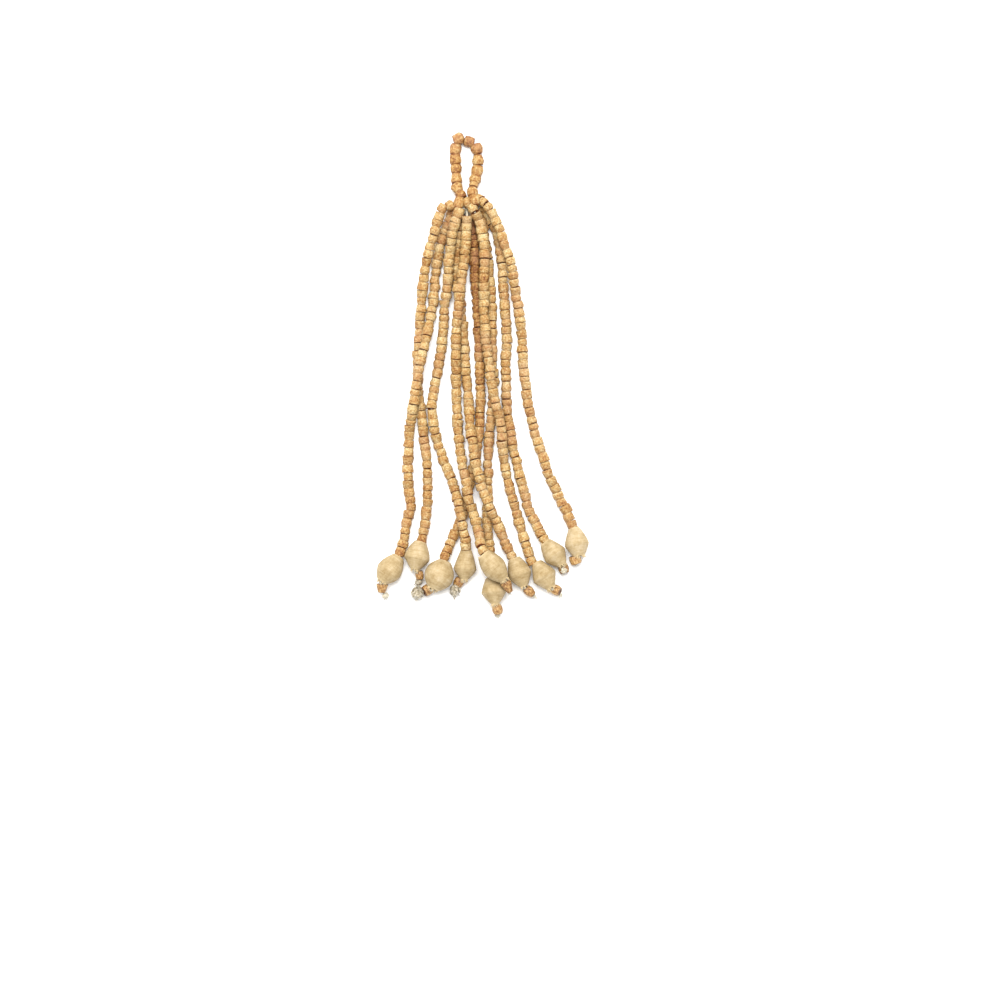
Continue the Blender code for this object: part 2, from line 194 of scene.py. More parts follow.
# Where each thread runs between the neck and its large bead, one row a point.
# x, y in millimetres; lift is the height above the table in strands.
STRANDS = {
    1: [
        (-5.2, 27.3, 1.00), (-6.2, 27.1, 0.95), (-6.9, 25.7, 0.90), (-7.5, 23.7, 0.85),
        (-8.2, 21.2, 0.75), (-8.9, 18.6, 0.60), (-9.5, 15.1, 0.35), (-9.8, 11.6, 0.10),
        (-10.1, 7.8, 0), (-10.3, 4.2, 0), (-10.4, 1.0, 0), (-10.4, -1.7, 0),
        (-10.1, -4.4, 0), (-9.7, -7.0, 0), (-9.3, -10.7, 0), (-8.9, -14.6, 0),
        (-8.8, -18.3, 0), (-9.0, -22.0, 0.05), (-9.4, -25.0, 0.25), (-9.6, -26.5, 0.35),
    ],
    2: [
        (-5.0, 25.4, 0), (-6.0, 23.4, 0), (-6.8, 20.8, 0), (-7.4, 17.3, 0),
        (-7.7, 13.5, 0), (-8.2, 10.0, 0.25), (-8.8, 6.8, 0.65), (-9.5, 3.7, 0.95),
        (-10.2, 0.9, 1.05), (-10.7, -2.2, 1.05), (-11.1, -5.0, 0.85), (-11.6, -8.2, 0.30),
        (-11.9, -12.0, 0), (-12.0, -16.1, 0), (-11.7, -20.4, 0), (-12.1, -23.5, 0.05),
        (-12.6, -26.3, 0.30), (-13.3, -28.8, 0.45),
    ],
    3: [
        (-3.8, 26.0, 1.00), (-4.5, 24.0, 0.95), (-5.0, 21.4, 0.85), (-5.3, 18.2, 0.75),
        (-5.6, 14.7, 0.50), (-6.0, 11.6, 0.20), (-6.2, 8.0, 0.05), (-6.6, 4.6, 0.02),
        (-7.1, 1.2, 0.02), (-7.8, -2.4, 0.15), (-8.1, -5.3, 0.45), (-7.8, -8.0, 0.35),
        (-7.1, -11.0, 0.05), (-6.3, -13.6, 0), (-5.1, -16.4, 0.10), (-4.2, -19.0, 0.50),
        (-3.6, -21.6, 0.95), (-3.1, -24.4, 1.05), (-2.7, -26.4, 0.75), (-2.5, -27.7, 0.50),
    ],
    4: [
        (-2.4, 25.0, 1.00), (-2.5, 22.4, 0.95), (-2.8, 19.7, 0.95), (-3.1, 16.7, 1.00),
        (-3.5, 13.6, 1.05), (-3.8, 10.4, 1.00), (-4.2, 7.0, 0.85), (-4.2, 3.2, 0.65),
        (-4.2, -0.8, 0.30), (-4.1, -4.4, 0.10), (-3.9, -8.9, 0.05), (-3.5, -12.3, 0.25),
        (-2.9, -15.6, 0.75), (-2.3, -18.9, 1.05), (-1.7, -21.4, 1.00), (-0.9, -24.0, 0.90),
        (-0.4, -26.0, 1.20), (-0.2, -27.2, 1.65), (0.1, -28.1, 1.95),
    ],
    5: [
        (-3.4, 24.2, 0), (-3.8, 22.0, 0), (-4.1, 18.9, 0), (-4.0, 15.7, 0),
        (-3.6, 12.6, 0), (-3.3, 9.8, 0), (-3.0, 6.6, 0), (-2.8, 3.2, 0),
        (-2.6, 0.2, 0), (-2.3, -2.8, 0.05), (-2.1, -5.6, 0.25), (-1.9, -8.4, 0.60),
        (-1.5, -11.2, 0.95), (-1.0, -14.4, 1.05), (-0.3, -17.2, 1.05), (0.6, -19.7, 1.05),
        (1.7, -22.3, 0.95), (2.8, -24.8, 0.45), (3.8, -27.2, 0.25), (4.8, -29.3, 0.35),
    ],
    6: [
        (-1.8, 24.2, 0), (-1.3, 21.8, 0), (-1.2, 18.6, 0), (-1.1, 15.4, 0),
        (-0.9, 12.6, 0), (-0.7, 10.0, 0), (-0.5, 6.6, 0), (-0.4, 3.2, 0),
        (-0.3, -0.4, 0), (-0.3, -4.0, 0), (-0.4, -7.2, 0), (-0.7, -10.4, 0),
        (-1.1, -13.4, 0), (-1.8, -16.9, 0), (-2.5, -20.2, 0), (-3.4, -23.3, 0),
        (-4.6, -26.0, 0.10), (-6.0, -29.3, 0.55),
    ],
    7: [
        (-1.4, 26.5, 1.10), (-0.4, 24.8, 1.00), (0.2, 22.0, 0.95), (0.4, 18.9, 0.95),
        (0.3, 15.4, 0.95), (0.3, 11.8, 0.95), (0.4, 8.4, 0.95), (0.7, 5.2, 0.95),
        (1.1, 1.8, 1.00), (1.6, -1.6, 1.05), (2.2, -4.6, 1.05), (2.9, -7.4, 0.95),
        (3.2, -10.4, 0.75), (3.5, -13.3, 0.35), (4.1, -16.8, 0.05), (5.0, -20.2, 0),
        (6.0, -23.6, 0.02), (6.9, -26.8, 0.20), (8.0, -30.0, 0.38),
    ],
    8: [
        (0.1, 24.0, 0), (0.3, 22.0, 0), (0.9, 18.8, 0), (1.2, 15.6, 0),
        (1.5, 12.8, 0), (1.6, 9.6, 0), (1.6, 6.0, 0), (1.7, 2.6, 0),
        (1.9, -1.0, 0), (1.7, -4.6, 0), (1.4, -8.0, 0), (1.1, -11.4, 0),
        (0.9, -15.2, 0), (0.9, -19.3, 0), (0.8, -22.4, 0), (1.0, -25.8, 0),
        (1.3, -28.6, 0), (1.5, -31.0, 0.15), (1.7, -32.4, 0.30),
    ],
    9: [
        (1.5, 25.0, 0), (2.3, 23.1, 0), (2.9, 20.9, 0), (3.2, 17.9, 0),
        (3.4, 14.8, 0), (3.7, 11.4, 0), (3.9, 8.0, 0), (4.0, 5.2, 0),
        (3.9, 2.2, 0), (3.9, -1.2, 0), (4.0, -4.8, 0), (4.4, -8.2, 0),
        (5.0, -11.6, 0), (5.8, -15.0, 0), (6.7, -18.5, 0), (7.6, -21.8, 0.05),
        (8.8, -24.2, 0.20), (9.9, -26.4, 0.35),
    ],
    10: [
        (0.6, 27.5, 1.00), (1.6, 26.1, 1.00), (2.8, 23.5, 0.98), (3.7, 20.8, 0.95),
        (4.6, 18.1, 0.85), (5.2, 15.0, 0.65), (5.6, 12.2, 0.35), (6.1, 9.0, 0.10),
        (6.5, 5.4, 0), (6.7, 1.6, 0), (7.1, -2.4, 0), (7.7, -6.0, 0),
        (8.6, -9.4, 0), (9.6, -12.8, 0), (10.9, -16.5, 0), (12.5, -19.9, 0.05),
        (13.8, -22.5, 0.25), (14.5, -24.2, 0.35),
    ],
}


def unit(vectors):
    """Each vector over its own length."""
    return vectors / np.linalg.norm(vectors, axis=-1, keepdims=True)


def smooth_route(points, steps=12):
    """Catmull-Rom curve through the points: on each span the cubic that leaves and arrives
    along the line between the neighbouring points. The ends run straight on."""
    p = np.vstack([2 * points[0] - points[1], points, 2 * points[-1] - points[-2]])
    a, b, c, d = p[:-3, None], p[1:-2, None], p[2:-1, None], p[3:, None]
    t = np.linspace(0, 1, steps, endpoint=False)[:, None]
    cubic = 2 * b + (c - a) * t + (2 * a - 5 * b + 4 * c - d) * t**2
    cubic = 0.5 * (cubic + (3 * b - a - 3 * c + d) * t**3)
    return np.vstack([cubic.reshape(-1, 3), points[-1:]])


def places_along(route, distances):
    """The points at these distances from the start of a route, measured along it."""
    along = np.concatenate([[0], np.cumsum(np.linalg.norm(np.diff(route, axis=0), axis=1))])
    return np.stack([np.interp(distances, along, column) for column in route.T], axis=-1)


def route_length(route):
    """The sum of the distances between a route's neighbouring points."""
    return float(np.linalg.norm(np.diff(route, axis=0), axis=1).sum())


def square_to(directions, upright=(0.0, 0.0, 1.0)):
    """Two unit vectors square to each direction: its cross product with upright, and the second
    one square to both, which leans towards upright."""
    level = unit(np.cross(directions, upright))
    return level, np.cross(level, directions)


def ring_angles(sides):
    """The angle of each corner of a ring, in radians."""
    return np.arange(sides) * 2 * math.pi / sides


def swept(routes, radii, sides, upright=(0.0, 0.0, 1.0)):
    """Tubes: round each point of each route a ring of corners, radius times the cosine of the
    angle to one side plus radius times its sine upwards. radii has a value for each corner."""
    level, up = square_to(unit(np.gradient(routes, axis=-2)), upright)
    angle = ring_angles(sides)
    around = level[..., None, :] * np.cos(angle)[:, None] + up[..., None, :] * np.sin(angle)[:, None]
    return routes[..., None, :] + around * radii[..., None]


def ring_faces(bodies, rings, sides, closed=False, first=0):
    """Four-sided faces between neighbouring rings of like bodies whose corners follow each other.
    An open body gets a flat face on each end, and a closed one joins its last ring to its first."""
    ring, side = np.arange(rings if closed else rings - 1)[:, None], np.arange(sides)
    after, beside = (ring + 1) % rings * sides, (side + 1) % sides
    corners = [ring * sides + side, after + side, after + beside, ring * sides + beside]
    starts = first + np.arange(bodies)[:, None, None] * rings * sides
    faces = (starts + np.stack(corners, axis=-1).reshape(-1, 4)).reshape(-1, 4).tolist()
    if not closed:
        caps = np.stack([side, (rings - 1) * sides + side[::-1]])
        faces += (starts + caps).reshape(-1, sides).tolist()
    return faces


def new_piece(name, points, faces, material, **values):
    """A smooth mesh object from points in millimetres, with the named values on its points."""
    mesh = bpy.data.meshes.new(name)
    mesh.from_pydata((points.reshape(-1, 3) * MM).tolist(), [], faces)
    for attribute, array in values.items():
        vector = array.size == 3 * len(mesh.vertices)
        made = mesh.attributes.new(attribute, "FLOAT_VECTOR" if vector else "FLOAT", "POINT")
        made.data.foreach_set("vector" if vector else "value", array.astype(np.float32).ravel())
    mesh.shade_smooth()
    mesh.set_sharp_from_angle(angle=math.radians(SHARP_DEGREES))
    mesh.materials.append(material)
    piece = bpy.data.objects.new(name, mesh)
    bpy.context.scene.collection.objects.link(piece)
    return piece


def middle_of(node):
    """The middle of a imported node's box, in millimetres."""
    low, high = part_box(node)
    return np.array((low + high) / 2) / MM


def turned(lean, dip):
    """Direction down a thread from its turn towards +X and its rise, in degrees."""
    lean, dip = math.radians(lean), math.radians(dip)
    return np.array([math.sin(lean) * math.cos(dip), -math.cos(lean) * math.cos(dip), math.sin(dip)])


# Soft spun cotton, undyed: matt off-white fibres that lie along the twist, a little see-through.
# grain_place is a point's place in its piece in millimetres, so a pattern on it repeats as many
# times to the millimetre as its scale says. Real fibres are too fine to show: these are 0.1 mm wide.
cotton, tree, shader = new_material("spun_cotton_thread", {
    "Roughness": 0.8, "IOR": 1.53, "Subsurface Weight": 0.25,
    "Subsurface Radius": (0.0006, 0.0005, 0.0004), "Subsurface Scale": 1.0})
place = add_node(tree, "ShaderNodeAttribute", attribute_name="grain_place")
spun = add_node(tree, "ShaderNodeTexNoise", {
    "Vector": add_node(tree, "ShaderNodeMapping", {
        "Vector": place.outputs["Vector"], "Scale": (9.0, 9.0, 3.0)}).outputs["Vector"],
    "Scale": 1.0, "Detail": 3.0, "Roughness": 0.6})
colour = add_node(tree, "ShaderNodeValToRGB", {"Fac": spun.outputs["Fac"]}, [
    (0.30, "#8F866F"), (0.48, "#B5AC97"), (0.70, "#CFC8B4")])
fuzz = add_node(tree, "ShaderNodeBump", {
    "Height": spun.outputs["Fac"], "Strength": 0.7, "Distance": 0.00003})
tree.links.new(colour.outputs["Color"], shader.inputs["Base Color"])
tree.links.new(fuzz.outputs["Normal"], shader.inputs["Normal"])


def thread_tube(route):
    """A twisted two-ply thread: a tube whose radius swells twice round and turns with distance."""
    count = round(route_length(route) / THREAD_RING_SPACING) + 1
    along = np.linspace(0, route_length(route), count)
    line = places_along(route, along)
    angle = ring_angles(THREAD_SIDES)
    twist = 2 * math.pi * along[:, None] / PLY_TWIST
    radii = THREAD_DIAMETER / 2 * (1 + PLY_DEPTH * np.cos(2 * (angle - twist)))
    grain = np.stack([radii * np.cos(angle - twist), radii * np.sin(angle - twist),
                      np.broadcast_to(along[:, None], radii.shape)], axis=-1)
    return line, swept(line, radii, THREAD_SIDES), grain


row_tops, headings, tip_middles, knot_middles, thread_lines, threads = {}, {}, {}, {}, {}, {}
for number, rows in STRANDS.items():
    tie_x, tie_y, tie_z, top_x, top_y, top_lift = THREAD_TOPS[number]
    (lean, dip, length), tip_move, knot_move = np.reshape(THREAD_ENDS[number], (3, 3))
    headings[number] = turned(lean, dip)
    tip_middles[number] = middle_of(f"stopper_bead_{number:02}") + tip_move
    knot_middles[number] = middle_of(f"thread_knot_{number:02}") + knot_move
    points = np.array([(top_x, top_y, top_lift), *rows])
    points[:, 2] = BEAD_REST + points[:, 2] * STRAND_STACK
    row_tops[number] = points[0]
    middle = middle_of(f"end_bead_{number:02}")
    strung = [middle, middle + headings[number] * length / 2, tip_middles[number], knot_middles[number]]
    line, tube, grain = thread_tube(smooth_route(np.vstack([(tie_x, tie_y, tie_z), points, *strung])))
    thread = new_piece(f"thread_{number:02}", tube, ring_faces(1, len(line), THREAD_SIDES), cotton,
                       grain_place=grain)
    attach(thread, "root")
    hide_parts(f"strand_{number:02}")
    thread_lines[number], threads[number] = line, thread

# ----------------
# Large beads. One pale close-grained bead near the end of each thread, turned to a ridge at its
# widest, scraped smooth and left raw. Torn fibres stand at the mouths of the bore.
# ----------------
LARGE_SIDES = 48
LARGE_RINGS = 27
LARGE_BORE = 0.20  # radius of the bore over the bead's
LARGE_EDGE = 0.05  # share of the radius worn off the edge of a cut end
LARGE_CORNER = 0.015  # share of the radius worn off just behind that edge
LARGE_CORNER_DEPTH = 0.008  # share of the length that the wear reaches
LARGE_UNEVEN = 0.008  # how far a bead is out of round
LARGE_BORE_STEP = 0.07  # share of the length from a mouth of the bore to its next ring
ON_TABLE = 0.01  # a bead lower than this rests on the table
FLAT_SUNK = 0.06  # how much of such a bead is pressed flat
LARGE_TINT = -0.45  # the middle of the wood's tints, and how far they vary
LARGE_TINT_SPREAD = 0.04
TORN_FIBRES = 40  # splinters on each bead
TORN_RADIUS = 0.085
TORN_RINGS = 5
TORN_SIDES = 4
TORN_AT_FOOT = 0.7  # share of the splinters that stand at the foot
TORN_PLACE = (0.70, 0.98)  # where they stand, as shares of the cut end's radius
TORN_ROOT = 0.15  # how deep they start in the wood
TORN_REACH = (0.25, 0.60)
TORN_FOOT_REACH, TORN_TOP_REACH = 1.2, 0.7  # factors on it at the foot and at the top
TORN_LEAN, TORN_LEAN_SPREAD = -0.15, 0.35  # how far they lean outwards
TORN_CURL = 0.3
TORN_RIM = 0.9  # how pale the torn wood is, from 0 to 1
LARGE_BORE_RIM, LARGE_END_RIM = 0.7, 0.8  # the same for the bore and for the cut ends
LARGE_RIM_DEPTH = 0.05  # share of the length that is paler from each cut end
LARGE_BEADS = {
    # thread: diameter; shares of the radius at the top and foot, where the ridge lies, fullness
    # above it and below it, how much paler the wood is
    1: (4.10, 0.44, 0.37, 0.62, 1.75, 1.05, 0.14),
    2: (4.15, 0.46, 0.42, 0.58, 1.80, 1.50, 0),
    3: (3.70, 0.47, 0.30, 0.64, 1.20, 1.30, 0),
    4: (3.90, 0.55, 0.40, 0.50, 1.55, 1.75, 0),
    5: (3.85, 0.52, 0.32, 0.58, 1.45, 1.20, 0),
    6: (4.75, 0.40, 0.40, 0.52, 2.00, 2.00, 0),
    7: (4.05, 0.42, 0.36, 0.56, 1.15, 1.05, 0),
    8: (4.05, 0.52, 0.32, 0.56, 1.40, 1.05, 0),
    9: (3.85, 0.50, 0.40, 0.58, 1.35, 1.15, 0),
    10: (3.95, 0.42, 0.48, 0.60, 1.45, 1.10, 0),
}

# Pale straight-grained wood, turned and scraped: matt and even, with faint lines 0.3 mm wide along
# the grain, fainter rings from the tool round it every 0.2 mm, and clouds a millimetre across.
WOOD_VALUES = ("grain_place", "tint", "rim")  # what a bead's mesh holds at each point: place in the wood, tint, and rim (pale torn wood or painted shade)
pale_wood, tree, shader = new_material("turned_limewood", {
    "Roughness": 0.66, "IOR": 1.5, "Specular IOR Level": 0.3})
place, tint, rim = (add_node(tree, "ShaderNodeAttribute", attribute_name=name) for name in WOOD_VALUES)
lines, clouds, rings = (
    add_node(tree, "ShaderNodeTexNoise", {
        "Vector": add_node(tree, "ShaderNodeMapping", {
            "Vector": place.outputs["Vector"], "Scale": scale}).outputs["Vector"],
        "Scale": 1.0, "Detail": 3.0, "Roughness": 0.6, "Distortion": distortion})
    for scale, distortion in (((3.6, 3.6, 0.6), 0.4), ((0.9, 0.9, 0.9), 0.0), ((0.5, 0.5, 5.0), 0.6)))
mottle = tint.outputs["Fac"]
for pattern, share in ((lines, 0.4), (clouds, 0.9), (rings, 0.6)):
    mottle = add_node(tree, "ShaderNodeMath", {
        0: pattern.outputs["Fac"], 1: share, 2: mottle}, operation="MULTIPLY_ADD").outputs["Value"]
wood = add_node(tree, "ShaderNodeValToRGB", {"Fac": mottle}, [
    (0.20, "#8C754C"), (0.50, "#A6916B"), (0.80, "#B9A788")])
torn = add_node(tree, "ShaderNodeMix", {
    0: rim.outputs["Fac"], 6: wood.outputs["Color"], 7: linear("#CDB78C")}, data_type="RGBA")
height = add_node(tree, "ShaderNodeMath", {
    0: lines.outputs["Fac"], 1: rings.outputs["Fac"]}, operation="ADD")
tooling = add_node(tree, "ShaderNodeBump", {
    "Height": height.outputs["Value"], "Strength": 0.8, "Distance": 0.00007})
tree.links.new(torn.outputs[2], shader.inputs["Base Color"])
tree.links.new(tooling.outputs["Normal"], shader.inputs["Normal"])


ROUGH_SHARE = 0.6  # how rough a bead is over how oval it is
WOOD_BLOCK = 60  # side of the block that the beads are cut from


def turned_beads(middles, directions, lengths, diameters, outlines, sides, rng, uneven):
    """Turned beads: each outline row, a share of the length and of the radius, becomes a ring of
    corners about the bead's axis, made uneven by a soft oval and some roughness. Returns the
    points and each one's place in the wood, across and along its grain."""
    level, up = square_to(directions)
    share, radius = outlines[..., 0], outlines[..., 1]
    angle = ring_angles(sides)
    oval = np.cos(2 * angle + rng.uniform(0, 2 * math.pi, (len(middles), 1, 1)))
    rough = ROUGH_SHARE * rng.normal(0, 1, (*radius.shape, sides))
    radii = radius[..., None] * (1 + uneven * (oval + rough)) * diameters[:, None, None] / 2
    along = (share - 0.5) * lengths[:, None]
    along = along[..., None] * np.ones(sides)
    cos, sin = np.cos(angle)[:, None], np.sin(angle)[:, None]
    around = level[:, None, None] * cos + up[:, None, None] * sin
    points = middles[:, None, None] + directions[:, None, None] * along[..., None]
    points = points + around * radii[..., None]
    grain = np.stack([radii * np.cos(angle), radii * np.sin(angle), along], axis=-1)
    return points, grain + rng.uniform(0, WOOD_BLOCK, (len(middles), 1, 1, 3))


def resting(points):
    """Presses flat what would dip below the table."""
    points[..., 2] = np.maximum(points[..., 2], 0)
    return points


def ridge_profile(top, foot, ridge, above, below, bore, rings):
    """Outline of a large bead: from the top's share the radius rises to 1 at the ridge as 1 minus
    the distance to the power above, and falls to the foot's share with the power below. Worn
    corners, cut ends and a bore close it."""
    share = np.linspace(0, 1, rings)
    share[np.abs(share - ridge).argmin()] = ridge
    upper = top + (1 - top) * (1 - np.clip((ridge - share) / ridge, 0, 1) ** above)
    lower = foot + (1 - foot) * (1 - np.clip((share - ridge) / (1 - ridge), 0, 1) ** below)
    radius = np.where(share < ridge, upper, lower)
    share = np.concatenate([[0.0, LARGE_CORNER_DEPTH], share[1:-1], [1 - LARGE_CORNER_DEPTH, 1.0],
                            [1.0, 1 - LARGE_BORE_STEP, LARGE_BORE_STEP, 0.0]])
    radius = np.concatenate([[top - LARGE_EDGE, top - LARGE_CORNER], radius[1:-1],
                             [foot - LARGE_CORNER, foot - LARGE_EDGE], [bore] * 4])
    return np.stack([share, radius], axis=-1)


FIBRE_TAPER = 0.75
FIBRE_UPRIGHT = (0.31, 0.17, 0.93)


def fibres(roots, directions, lengths, radius, rng, curl, rings, sides):
    """Thin tapering tubes: each runs from its root along its direction and bends away by a share
    of its length, curl, that grows with the square of the distance, and waves by half as much.
    Returns their rings, which are squared to an upright that no fibre runs along."""
    t = np.linspace(0, 1, rings)[:, None]
    aside = unit(rng.normal(0, 1, directions.shape)) * curl
    wave = unit(rng.normal(0, 1, directions.shape)) * curl * 0.5
    way = directions[:, None] * t + aside[:, None] * t**2 + wave[:, None] * np.sin(5 * t) * t
    routes = roots[:, None] + way * lengths[:, None, None]
    radii = np.broadcast_to(radius * (1 - FIBRE_TAPER * t), (len(roots), rings, sides))
    return swept(routes, radii, sides, FIBRE_UPRIGHT)


mouths = {}
for number, (diameter, top, foot, ridge, above, below, paler) in LARGE_BEADS.items():
    rng = np.random.default_rng(200 + number)
    direction, length = headings[number], THREAD_ENDS[number][2]
    middle = middle_of(f"end_bead_{number:02}")
    outline = ridge_profile(top, foot, ridge, above, below, LARGE_BORE, LARGE_RINGS)
    points, grain = turned_beads(middle[None], direction[None], np.array([length]), np.array([diameter]),
                                 outline[None], LARGE_SIDES, rng, LARGE_UNEVEN)
    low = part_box(f"end_bead_{number:02}")[0][2] / MM
    points[..., 2] += low - points[..., 2].min() - (FLAT_SUNK if low < ON_TABLE else 0)
    middle = points.reshape(-1, 3).mean(axis=0)
    centres = points[0, [0, LARGE_RINGS + 1]].mean(axis=1)
    mouths[number] = centres[0]
    share, radius = outline.T
    cut_end = np.clip(1 - np.minimum(share, 1 - share) / LARGE_RIM_DEPTH, 0, 1) * LARGE_END_RIM
    rim = np.where(radius <= LARGE_BORE + 0.001, LARGE_BORE_RIM, cut_end)

    # Torn fibres round both mouths of the bore, most of them at the foot.
    foot_end = rng.random(TORN_FIBRES) < TORN_AT_FOOT
    turn = rng.uniform(0, 2 * math.pi, TORN_FIBRES)
    level, up = square_to(direction)
    out = level * np.cos(turn)[:, None] + up * np.sin(turn)[:, None]
    end_radius = np.where(foot_end, foot, top) * diameter / 2 * rng.uniform(*TORN_PLACE, TORN_FIBRES)
    along = np.where(foot_end, 1, -1)[:, None] * direction
    roots = centres[foot_end.astype(int)] + out * end_radius[:, None] - along * TORN_ROOT
    reach = rng.uniform(*TORN_REACH, TORN_FIBRES) * np.where(foot_end, TORN_FOOT_REACH, TORN_TOP_REACH)
    lean_out = rng.normal(TORN_LEAN, TORN_LEAN_SPREAD, (TORN_FIBRES, 1))
    tufts = fibres(roots, unit(along + out * lean_out), reach, TORN_RADIUS, rng, TORN_CURL,
                   TORN_RINGS, TORN_SIDES)
    tuft_grain = np.broadcast_to(tufts - middle, tufts.shape)
    all_points = np.vstack([resting(points).reshape(-1, 3), resting(tufts).reshape(-1, 3)])
    faces = ring_faces(1, len(outline), LARGE_SIDES, closed=True)
    faces += ring_faces(TORN_FIBRES, TORN_RINGS, TORN_SIDES, first=points[0].size // 3)
    like = np.ones(points.shape[1:3])
    bead = new_piece(
        f"large_bead_{number:02}", all_points, faces, pale_wood,
        grain_place=np.vstack([grain.reshape(-1, 3), tuft_grain.reshape(-1, 3)]),
        tint=np.full(len(all_points), rng.normal(paler + LARGE_TINT, LARGE_TINT_SPREAD)),
        rim=np.concatenate([(like * rim[:, None]).ravel(), np.full(tufts.size // 3, TORN_RIM)]))
    bead.parent = threads[number]
    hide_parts(f"end_bead_{number:02}")

# ----------------
# Small beads. About 45 short barrels of a yellow-brown close-grained wood on each thread, from the
# tie to the large bead, turned by hand and cut apart one by one, so that no two are alike. Each
# thread's beads are one mesh.
# ----------------
BEAD_PITCH = 1.26
BEAD_DIAMETER = 1.75  # across the ridge
BEAD_GAP = 0.015
LENGTH_SPREAD, LENGTH_RANGE = 0.13, (0.75, 1.35)  # shares of the mean length
DIAMETER_SPREAD, DIAMETER_RANGE = 0.075, (1.56, 1.92)
BEAD_TILT = 0.072  # radians that a bead leans out of its row
BEAD_ASIDE = 0.05  # how far a bead sits beside its thread
BEAD_UNEVEN = 0.03  # how far a bead is out of round
BEAD_TINT = -0.545  # the middle of the wood's tints, and how far they vary in a row
BEAD_TINT_SPREAD = 0.055
BEAD_SIDES = 10
BORE_SHARE = 0.30  # radius of the bore over the bead's
CORNER = 0.05  # share of the length and of the radius that is worn off the edge of a cut end
END_RANGE = (0.76, 0.95)  # radius of a cut end over the ridge's
RIDGE_SPREAD, RIDGE_RANGE = 0.32, (0.15, 0.85)  # where the ridge lies, as a share of the length
RIDGE_WIDTH = (0.03, 0.14)
RIDGE_FALL = 0.015  # how much the radius falls across the ridge
CUP_NEAR = 0.40  # an end nearer to the ridge than this is wider, by CUP_GAIN for each share nearer
CUP_GAIN = 0.5

# How much paler or browner the wood of each row is at its top, middle and foot.
# Row 6's browner top is painted shade, where other rows lie over it.
ROW_TONES = {
    1: (0.02, 0.03, 0), 2: (0.10, 0.05, -0.05), 3: (0.14, 0.01, -0.03), 4: (0.05, -0.01, 0),
    5: (0.03, 0.04, 0), 6: (-0.30, -0.10, -0.01), 7: (0.07, 0.05, 0.01), 8: (0, 0.04, 0),
    9: (0.10, 0.02, -0.04), 10: (0.02, 0.06, -0.02)}

# Beads that stand out from their row: y where it lies, how far it sits to the right, how much
# wider and how much paler it is. The last bead of most rows is browner or paler than the others.
# The first four of row 2, which lie lowest, under other rows, are browner with painted shade.
ODD_BEADS = {
    1: [(-26.6, 0, 1, -0.10)],
    2: [(26.0, 0, 1, -0.22), (24.8, 0, 1, -0.26), (23.7, 0, 1, -0.26),
        (22.4, 0, 1, -0.18), (-20.8, 0.28, 1.05, 0), (-26.2, 0, 1, -0.10),
        (-28.8, 0, 1, -0.08)],
    3: [(-27.8, 0, 1, 0.20)],
    4: [(13.3, -0.15, 1.18, 0), (-28.0, 0, 1, 0.10)],
    5: [(-29.4, 0, 1, 0.08)],
    6: [(-29.0, 0, 1, -0.15)],
    7: [(-30.0, 0, 1, -0.07)],
    10: [(-21.6, 0.22, 1.08, 0), (-24.3, 0, 1, -0.03)],
}

# Close-grained yellow wood, turned and left raw: satin, mottled with pale and brown flecks about
# 0.3 mm across, with open pores 0.2 mm across. The cut edges and the bore are brown with painted
# shade, where beads meet. Each bead has its tint, and a slow drift from yellow to pink, 4 mm long,
# runs through the rows. Real pores are finer than these, and wouldn't show.
small_wood, tree, shader = new_material("turned_boxwood", {
    "Roughness": 0.58, "IOR": 1.5, "Specular IOR Level": 0.35})
place, tint, rim = (add_node(tree, "ShaderNodeAttribute", attribute_name=name) for name in WOOD_VALUES)
clouds, flecks, pores = (
    add_node(tree, "ShaderNodeTexNoise", {
        "Vector": add_node(tree, "ShaderNodeMapping", {
            "Vector": place.outputs["Vector"], "Scale": scale}).outputs["Vector"],
        "Scale": 1.0, "Detail": detail, "Roughness": roughness})
    for scale, detail, roughness in (
        ((1.0, 1.0, 1.0), 2.0, 0.5), ((2.9, 2.9, 3.9), 3.0, 0.65), ((5.0, 5.0, 3.4), 1.0, 0.5)))
drift = add_node(tree, "ShaderNodeTexNoise", {
    "Vector": add_node(tree, "ShaderNodeTexCoord").outputs["Object"],
    "Scale": 260.0, "Detail": 1.0, "Roughness": 0.5})
mottle = tint.outputs["Fac"]
for pattern, share in ((clouds, 0.5), (flecks, 1.5)):
    mottle = add_node(tree, "ShaderNodeMath", {
        0: pattern.outputs["Fac"], 1: share, 2: mottle}, operation="MULTIPLY_ADD").outputs["Value"]
wood = add_node(tree, "ShaderNodeValToRGB", {"Fac": mottle}, [
    (0.14, "#6C3E19"), (0.38, "#A0723A"), (0.58, "#B3935D"), (0.86, "#CAB789")])
pinker = add_node(tree, "ShaderNodeMix", {
    0: add_node(tree, "ShaderNodeMapRange", {
        "Value": drift.outputs["Fac"], "From Min": 0.48, "From Max": 0.70, "To Max": 0.35}).outputs[0],
    6: wood.outputs["Color"], 7: linear("#A67A5A")}, data_type="RGBA")
open_pores = add_node(tree, "ShaderNodeMix", {
    0: add_node(tree, "ShaderNodeMapRange", {
        "Value": pores.outputs["Fac"], "From Min": 0.60, "From Max": 0.68, "To Max": 0.60}).outputs[0],
    6: pinker.outputs[2], 7: linear("#754A24")}, data_type="RGBA")
painted_edge_shade = add_node(tree, "ShaderNodeMix", {
    0: rim.outputs["Fac"], 6: open_pores.outputs[2], 7: linear("#6E3713")}, data_type="RGBA")
height = add_node(tree, "ShaderNodeMath", {
    0: flecks.outputs["Fac"], 1: pores.outputs["Fac"]}, operation="SUBTRACT")
pits = add_node(tree, "ShaderNodeBump", {
    "Height": height.outputs["Value"], "Strength": 1.0, "Distance": 0.00016})
tree.links.new(painted_edge_shade.outputs[2], shader.inputs["Base Color"])
tree.links.new(pits.outputs["Normal"], shader.inputs["Normal"])


